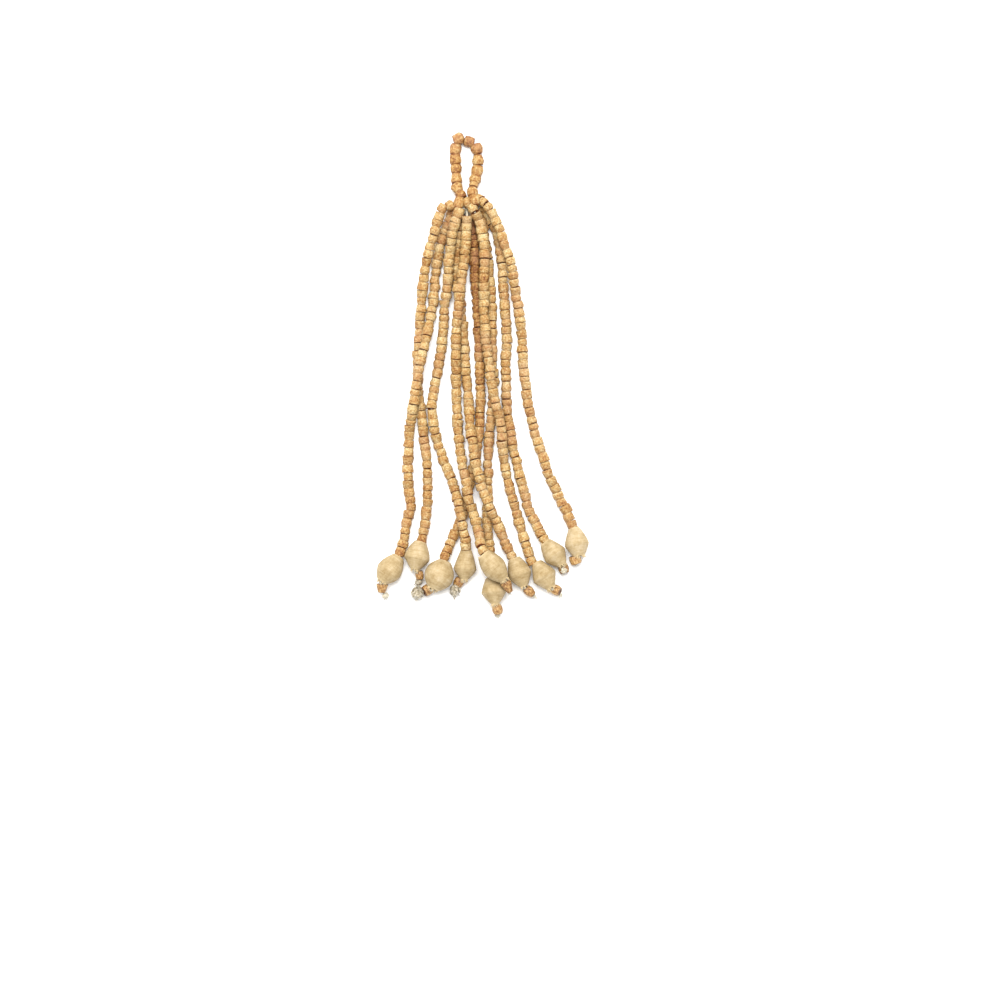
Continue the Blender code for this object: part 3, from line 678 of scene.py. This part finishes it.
def barrel_outlines(count, rng):
    """Outlines of small barrels: a cut end, a worn corner, a cone that widens to a ridge anywhere
    along the bead, a cone that narrows to the other corner and cut end, and back through the
    bore. An end near the ridge is wide, as on a cup."""
    top, foot = rng.uniform(*END_RANGE, (2, count))
    ridge = np.clip(rng.normal(0.5, RIDGE_SPREAD, count), *RIDGE_RANGE)
    width = rng.uniform(*RIDGE_WIDTH, count)
    top += CUP_GAIN * np.maximum(CUP_NEAR - ridge, 0)
    foot += CUP_GAIN * np.maximum(ridge - (1 - CUP_NEAR), 0)
    still, full = np.zeros(count), np.ones(count)
    bore = np.full(count, BORE_SHARE)
    share = [still, still + CORNER, ridge - width / 2, ridge + width / 2, full - CORNER, full, full,
             still]
    radius = [top - CORNER, top, full, full - RIDGE_FALL, foot, foot - CORNER, bore, bore]
    return np.stack([np.stack(share, axis=-1), np.stack(radius, axis=-1)], axis=-1)


def stretch(line, start, end):
    """The part of a line between the places on it nearest to two points."""
    first, last = (np.linalg.norm(line - point, axis=1).argmin() for point in (start, end))
    return line[first:last + 1]


BARREL_PAINTED_SHADE = np.array([0.70, 0.0, 0.0, 0.0, 0.25, 0.90, 1.0, 1.0])  # how brown each ring is: painted shade at the cut ends and bore, most at the foot, away from the light
BARREL_HIGHLIGHT_AND_WEAR = np.array([0.10, 0.16, 0.0, 0.04, 0.10, 0.0, 0.0, 0.0])  # how much paler each ring is: painted highlight at the top, which faces the light, and wear

for number, line in thread_lines.items():
    rng = np.random.default_rng(number)
    row = stretch(line, row_tops[number], mouths[number])
    whole = route_length(row)
    count = round(whole / BEAD_PITCH)
    lengths = np.clip(rng.normal(1, LENGTH_SPREAD, count), *LENGTH_RANGE)
    lengths *= whole / lengths.sum()
    along = np.cumsum(lengths) - lengths / 2
    middles = places_along(row, along)
    step = 0.3 * BEAD_PITCH
    directions = unit(places_along(row, along + step) - places_along(row, along - step))
    level, up = square_to(directions)
    tilt = rng.normal(0, BEAD_TILT, (2, count, 1))
    directions = unit(directions + level * tilt[0] + up * tilt[1])
    middles = middles + level * rng.normal(0, BEAD_ASIDE, (count, 1))
    diameters = np.clip(rng.normal(BEAD_DIAMETER, DIAMETER_SPREAD, count), *DIAMETER_RANGE)
    tones = np.interp(np.linspace(0, 1, count), [0, 0.5, 1], ROW_TONES[number])
    tints = rng.normal(tones + BEAD_TINT, BEAD_TINT_SPREAD)
    for y, aside, wider, paler in ODD_BEADS.get(number, []):
        odd = np.abs(middles[:, 1] - y).argmin()
        middles[odd, 0] += aside
        diameters[odd] *= wider
        tints[odd] += paler
    points, grain = turned_beads(middles, directions, lengths - BEAD_GAP, diameters,
                                 barrel_outlines(count, rng), BEAD_SIDES, rng, BEAD_UNEVEN)
    like = np.ones(grain.shape[:-1])
    beads = new_piece(
        f"small_beads_{number:02}", resting(points),
        ring_faces(count, points.shape[1], BEAD_SIDES, closed=True), small_wood, grain_place=grain,
        tint=like * (tints[:, None] + BARREL_HIGHLIGHT_AND_WEAR)[..., None], rim=like * BARREL_PAINTED_SHADE[:, None])
    beads.parent = threads[number]
    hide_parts(f"strand_{number:02}")

# ----------------
# Hanging loop. Sixteen beads of the same turned wood, larger and each its own shape, threaded
# close together on a doubled-back thread whose two ends go into the tie at the neck.
# ----------------
LOOP_BEAD_SIDES = 24
LOOP_BEAD_RINGS = 13
CORNER_DEPTH = 0.015  # share of the length over which the edge of a cut end is worn
BORE_STEP = 0.1  # share of the length from a mouth of the bore to its next ring
LOOP_UNEVEN = 0.025
LOOP_TINT = -0.57
LOOP_GRAIN = 0.7  # how closely the wood's pattern repeats, over the small beads'
LOOP_END_SHADE_DEPTH = 0.26  # share of the length that is browner from each end: painted shade where beads meet
LOOP_BEADS = {
    # bead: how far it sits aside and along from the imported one; degrees it is turned out of the
    # row; length, diameter; radius at the start, where the ridge lies, radius at the end, fullness; tint
    1: (-0.03, 0.05, 0, 2.15, 1.74, 0.66, 0.45, 0.72, 1.8, 0),
    # Bead 2's browner tint is painted shade.
    2: (0.02, 0.02, 30, 1.35, 1.69, 0.80, 0.55, 0.84, 1.6, -0.11),
    3: (-0.08, -0.20, 14, 1.55, 2.03, 0.62, 0.80, 0.86, 1.2, 0.03),
    4: (-0.02, -0.05, 0, 1.68, 1.86, 0.86, 0.28, 0.74, 1.4, 0.03),
    5: (0.02, 0, -3, 1.48, 1.90, 0.76, 0.62, 0.78, 1.7, -0.02),
    6: (0, 0, 3, 1.62, 1.93, 0.84, 0.32, 0.82, 1.3, -0.04),
    7: (0.05, 0.02, 0, 1.75, 1.96, 0.80, 0.62, 0.74, 2.0, 0.02),
    8: (0.02, -0.15, -8, 1.80, 2.00, 0.82, 0.70, 0.60, 1.2, 0),
    9: (0, -0.15, 16, 1.60, 1.84, 0.90, 0.45, 0.80, 2.0, -0.08),
    10: (-0.04, 0, -6, 1.72, 2.03, 0.78, 0.46, 0.64, 1.3, -0.05),
    11: (-0.06, -0.05, 2, 1.65, 1.92, 0.64, 0.62, 0.84, 1.5, 0.03),
    12: (0.01, -0.22, -4, 1.74, 2.00, 0.78, 0.36, 0.76, 1.2, 0),
    13: (-0.08, -0.15, -3, 1.50, 1.96, 0.80, 0.42, 0.66, 1.5, -0.02),
    14: (0.05, 0.33, 0, 0.85, 1.50, 0.88, 0.50, 0.88, 1.5, 0.02),
    15: (-0.05, 0.42, 0, 1.55, 1.82, 0.74, 0.45, 0.80, 1.8, 0.03),
    16: (0.05, 0.15, 5, 1.85, 1.86, 0.74, 0.52, 0.60, 1.7, 0),
}


def barrel_profile(top, ridge, foot, fullness, rings):
    """Outline of a turned barrel: the radius rises from the top's share to 1 at the ridge and
    falls to the foot's, each as 1 minus a power of the distance from the ridge. A fullness of 1
    gives cones that meet in an edge, 2 a round barrel. Cut ends and a bore close it."""
    share = np.linspace(0, 1, rings)
    share[np.abs(share - ridge).argmin()] = ridge
    away = np.where(share < ridge, (ridge - share) / ridge, (share - ridge) / (1 - ridge))
    end = np.where(share < ridge, top, foot)
    radius = end + (1 - end) * (1 - away ** fullness)
    share = np.concatenate([[0, CORNER_DEPTH], share[1:-1], [1 - CORNER_DEPTH, 1],
                            [1, 1 - BORE_STEP, BORE_STEP, 0]])
    radius = np.concatenate([[top - CORNER, top], radius[1:-1], [foot, foot - CORNER], [BORE_SHARE] * 4])
    return np.stack([share, radius], axis=-1)


def profile_rim(outline, depth):
    """How brown each ring is, as painted shade where beads meet and in the bore: 1 in the bore, and
    outside it 0.7 times the square of 1 minus the distance to the nearer cut end over depth."""
    share, radius = outline.T
    worn = np.clip(1 - np.minimum(share, 1 - share) / depth, 0, 1) ** 2 * 0.7
    return np.where(radius <= BORE_SHARE + 0.001, 1.0, worn)


loop_middles = np.array([middle_of(f"loop_bead_{number:02}") for number in LOOP_BEADS])
loop_middles[:, :2] += np.array(list(LOOP_BEADS.values()))[:, :2]
loop_route = smooth_route(np.vstack([NECK, loop_middles, NECK]))
line, tube, grain = thread_tube(loop_route)
loop_thread = new_piece("loop_thread", tube, ring_faces(1, len(line), THREAD_SIDES), cotton,
                        grain_place=grain)
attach(loop_thread, "root")

loop_directions = unit(np.gradient(loop_middles, axis=0))
for number, (_, _, lean, length, diameter, start, ridge, end, fullness, tone) in LOOP_BEADS.items():
    rng = np.random.default_rng(100 + number)
    lean = math.radians(lean)
    cos, sin = math.cos(lean), math.sin(lean)
    x, y, z = loop_directions[number - 1]
    direction = np.array([x * cos - y * sin, x * sin + y * cos, z])
    outline = barrel_profile(start, ridge, end, fullness, LOOP_BEAD_RINGS)
    points, grain = turned_beads(
        loop_middles[number - 1][None], direction[None], np.array([length]), np.array([diameter]),
        outline[None], LOOP_BEAD_SIDES, rng, LOOP_UNEVEN)
    like = np.ones(grain.shape[:-1])
    bead = new_piece(
        f"loop_barrel_{number:02}", resting(points),
        ring_faces(1, len(outline), LOOP_BEAD_SIDES, closed=True), small_wood,
        grain_place=grain * LOOP_GRAIN, tint=like * (tone + LOOP_TINT),
        rim=like * profile_rim(outline, LOOP_END_SHADE_DEPTH)[:, None])
    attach(bead, "root")
    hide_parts(f"loop_bead_{number:02}")

# ----------------
# Tip beads. One small turned barrel of the same yellow wood under each large bead, rubbed brown by
# handling. It keeps the large bead on its thread, and the knot under it holds them both.
# ----------------
TIP_SIDES = 24
TIP_RINGS = 11
TIP_UNEVEN = 0.03
TIP_TINT = -0.60
# Share of the length that is browner from each end of a tip bead: painted shade.
TIP_END_SHADE_DEPTH = 0.12
TIP_BEADS = {
    # thread: lean, dip in degrees; length, diameter; radius at the top, where the ridge lies,
    # radius at the foot, fullness; tint
    1: (5, -5, 1.40, 1.40, 0.80, 0.50, 0.76, 1.6, -0.02),
    2: (-4, -5, 1.38, 1.92, 0.96, 0.10, 0.60, 1.1, 0.10),
    3: (-25, -5, 1.60, 1.66, 0.80, 0.50, 0.72, 1.7, 0),
    4: (26, -8, 1.95, 1.76, 0.95, 0.20, 0.52, 1.2, -0.04),
    5: (48, -8, 1.75, 1.62, 0.78, 0.40, 0.62, 1.6, 0.03),
    6: (-60, 22, 1.40, 1.80, 0.82, 0.50, 0.86, 1.8, 0),
    7: (68, 20, 1.38, 1.75, 0.82, 0.50, 0.74, 2.2, 0.10),
    8: (18, -8, 1.62, 1.74, 0.76, 0.52, 0.68, 2.0, 0.08),
    9: (16, 0, 1.50, 1.75, 0.80, 0.50, 0.78, 2.0, -0.05),
    10: (18, -4, 1.38, 1.98, 0.90, 0.45, 0.90, 1.4, 0.12),
}

# The same yellow wood, oiled by handling at the ends: redder and darker. Painted shade browns its cut
# edges and bore.
tip_wood, tree, shader = new_material("oiled_boxwood", {"Roughness": 0.5, "IOR": 1.5})
place, tint, rim = (add_node(tree, "ShaderNodeAttribute", attribute_name=name) for name in WOOD_VALUES)
flecks = add_node(tree, "ShaderNodeTexNoise", {
    "Vector": add_node(tree, "ShaderNodeMapping", {
        "Vector": place.outputs["Vector"], "Scale": (3.8, 3.8, 2.4)}).outputs["Vector"],
    "Scale": 1.0, "Detail": 3.0, "Roughness": 0.65})
mottle = add_node(tree, "ShaderNodeMath", {
    0: flecks.outputs["Fac"], 1: 2.2, 2: tint.outputs["Fac"]}, operation="MULTIPLY_ADD")
wood = add_node(tree, "ShaderNodeValToRGB", {"Fac": mottle.outputs["Value"]}, [
    (0.16, "#5A3616"), (0.40, "#885E2F"), (0.60, "#A67D48"), (0.88, "#C2A26D")])
painted_edge_shade = add_node(tree, "ShaderNodeMix", {
    0: rim.outputs["Fac"], 6: wood.outputs["Color"], 7: linear("#573419")}, data_type="RGBA")
pits = add_node(tree, "ShaderNodeBump", {
    "Height": flecks.outputs["Fac"], "Strength": 1.0, "Distance": 0.00016})
tree.links.new(painted_edge_shade.outputs[2], shader.inputs["Base Color"])
tree.links.new(pits.outputs["Normal"], shader.inputs["Normal"])

for number, (lean, dip, length, diameter, top, ridge, foot, fullness, tone) in TIP_BEADS.items():
    rng = np.random.default_rng(300 + number)
    outline = barrel_profile(top, ridge, foot, fullness, TIP_RINGS)
    points, grain = turned_beads(
        tip_middles[number][None], turned(lean, dip)[None], np.array([length]), np.array([diameter]),
        outline[None], TIP_SIDES, rng, TIP_UNEVEN)
    like = np.ones(grain.shape[:-1])
    bead = new_piece(
        f"tip_bead_{number:02}", resting(points), ring_faces(1, len(outline), TIP_SIDES, closed=True),
        tip_wood, grain_place=grain, tint=like * (tone + TIP_TINT),
        rim=like * profile_rim(outline, TIP_END_SHADE_DEPTH)[:, None])
    bead.parent = threads[number]
    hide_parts(f"stopper_bead_{number:02}")

# ----------------
# Knots. Each thread is tied off under its tip bead with a tight overhand knot, and its cut ends
# fan out from it; those on threads 1, 3 and 6 are stiff with glue. A larger knot ties all threads
# together at the neck.
# ----------------
KNOT_RINGS = 60
KNOT_SIDES = 10
LUMP_RINGS = 9
LUMP_SIDES = 13
TAIL_RINGS = 6
TAIL_SIDES = 5
TAIL_CURL = 0.5
TAIL_ROOT = 0.22  # shares of the knot's size: where a cut end starts, and how much of it is inside
TAIL_INSIDE = 0.28
TIE_TWISTS = 6  # turns of the plies along the whole knot
TIE_PLY_DEPTH = 0.12
GLUED_SIZE = 1.2  # knots at thread ends of this size or more are soaked with glue
KNOTS = {
    # name: size across; lump's share of it and how crumpled it is; thread radius; cut ends,
    # their radius, reach, turn in degrees and spread
    "tied_end_01": (1.25, 1.00, 0.22, 0.20, 8, 0.08, 0.65, -40, 1.0),
    "tied_end_02": (0.95, 1.05, 0.22, 0.16, 7, 0.08, 0.55, 20, 1.0),
    "tied_end_03": (1.90, 1.05, 0.24, 0.20, 9, 0.13, 0.45, -10, 1.2),
    "tied_end_04": (0.45, 0.80, 0.10, 0.10, 4, 0.06, 0.30, 20, 0.8),
    "tied_end_05": (0.65, 0.95, 0.20, 0.12, 4, 0.09, 0.70, 40, 0.4),
    "tied_end_06": (2.00, 1.08, 0.24, 0.22, 10, 0.13, 0.45, -80, 1.5),
    "tied_end_07": (0.60, 0.95, 0.20, 0.12, 5, 0.09, 0.45, 60, 0.8),
    "tied_end_08": (0.90, 0.95, 0.20, 0.17, 5, 0.09, 0.45, 0, 0.8),
    "tied_end_09": (1.10, 0.45, 0.12, 0.17, 8, 0.08, 0.45, 30, 1.6),
    "tied_end_10": (0.45, 0.80, 0.10, 0.10, 3, 0.06, 0.25, 0, 0.8),
    "neck_tie": (1.50, 0.90, 0.12, 0.20, 10, 0.08, 0.60, 0, 1.2),
}

# Cotton soaked with clear glue: grey and half see-through, with small bright glints on its folds.
glued, tree, shader = new_material("glued_cotton_thread", {
    "Roughness": 0.28, "IOR": 1.49, "Subsurface Weight": 0.35,
    "Subsurface Radius": (0.0005, 0.0005, 0.0004), "Subsurface Scale": 1.0})
place = add_node(tree, "ShaderNodeAttribute", attribute_name="grain_place")
folds = add_node(tree, "ShaderNodeTexNoise", {
    "Vector": place.outputs["Vector"], "Scale": 2.6, "Detail": 3.0, "Roughness": 0.6})
colour = add_node(tree, "ShaderNodeValToRGB", {"Fac": folds.outputs["Fac"]}, [
    (0.34, "#665B45"), (0.50, "#9C917B"), (0.68, "#D4CBB8")])
creases = add_node(tree, "ShaderNodeBump", {
    "Height": folds.outputs["Fac"], "Strength": 0.9, "Distance": 0.00012})
tree.links.new(colour.outputs["Color"], shader.inputs["Base Color"])
tree.links.new(creases.outputs["Normal"], shader.inputs["Normal"])


SMALL_CIRCLE = 0.42  # radius of the knot's smaller circle, as a share of the room that it has


def knot_route(middle, size, radius, rings):
    """The line of a tight overhand knot: a point that goes twice round a circle in the table's
    plane while it goes three times round a smaller circle set square on the first."""
    t = np.linspace(0, 2 * math.pi, rings, endpoint=False)
    small = (size / 2 - radius) * SMALL_CIRCLE
    large = (size / 2 - radius) - small
    away = large + small * np.cos(3 * t)
    return middle + np.stack([away * np.cos(2 * t), away * np.sin(2 * t), small * np.sin(3 * t)], axis=-1)


# Outline of the lump of glue and fibres inside a knot: a ball with its two ends cut flat.
END_ANGLE = 0.2
arc = np.linspace(END_ANGLE, math.pi - END_ANGLE, LUMP_RINGS)
ball = np.stack([(1 - np.cos(arc)) / 2, np.sin(arc)], axis=-1)

for index, (name, row) in enumerate(KNOTS.items()):
    size, share, crumpled, radius, count, tail_radius, reach, turn, spread = row
    rng = np.random.default_rng(400 + index)
    at_neck = name == "neck_tie"
    middle = middle_of("neck_knot") if at_neck else knot_middles[int(name[-2:])]
    route = knot_route(middle, size, radius, KNOT_RINGS)
    ahead, behind = np.roll(route, -1, axis=0), np.roll(route, 1, axis=0)
    level, up = square_to(unit(ahead - behind), unit(route - middle))
    angle = ring_angles(KNOT_SIDES)
    plies = np.linspace(0, 2 * math.pi * TIE_TWISTS, KNOT_RINGS, endpoint=False)[:, None]
    ply = 1 + TIE_PLY_DEPTH * np.cos(2 * (angle - plies))
    around = level[:, None] * np.cos(angle)[:, None] + up[:, None] * np.sin(angle)[:, None]
    knot = route[:, None] + around * (radius * ply)[..., None]
    ways = unit(turned(turn, 0) + rng.normal(0, spread, (count, 3)) * (1, 1, 0.6))
    roots = middle + ways * size * TAIL_ROOT
    tails = fibres(roots, ways, size * TAIL_INSIDE + rng.uniform(0.3, 1.0, count) * reach, tail_radius,
                   rng, TAIL_CURL, TAIL_RINGS, TAIL_SIDES)
    across = np.array([size * share])
    lump, _ = turned_beads(middle[None], turned(turn, 0)[None], across, across, ball[None], LUMP_SIDES,
                           rng, crumpled)
    points = resting(np.vstack([knot.reshape(-1, 3), lump.reshape(-1, 3), tails.reshape(-1, 3)]))
    faces = ring_faces(1, KNOT_RINGS, KNOT_SIDES, closed=True)
    faces += ring_faces(1, LUMP_RINGS, LUMP_SIDES, first=KNOT_RINGS * KNOT_SIDES)
    faces += ring_faces(count, TAIL_RINGS, TAIL_SIDES,
                        first=KNOT_RINGS * KNOT_SIDES + LUMP_RINGS * LUMP_SIDES)
    finish = cotton if at_neck or size < GLUED_SIZE else glued
    tie = new_piece(name, points, faces, finish, grain_place=points)
    if at_neck:
        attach(tie, "root")
        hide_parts("neck_knot")
    else:
        tie.parent = threads[int(name[-2:])]
        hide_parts(f"thread_knot_{name[-2:]}")
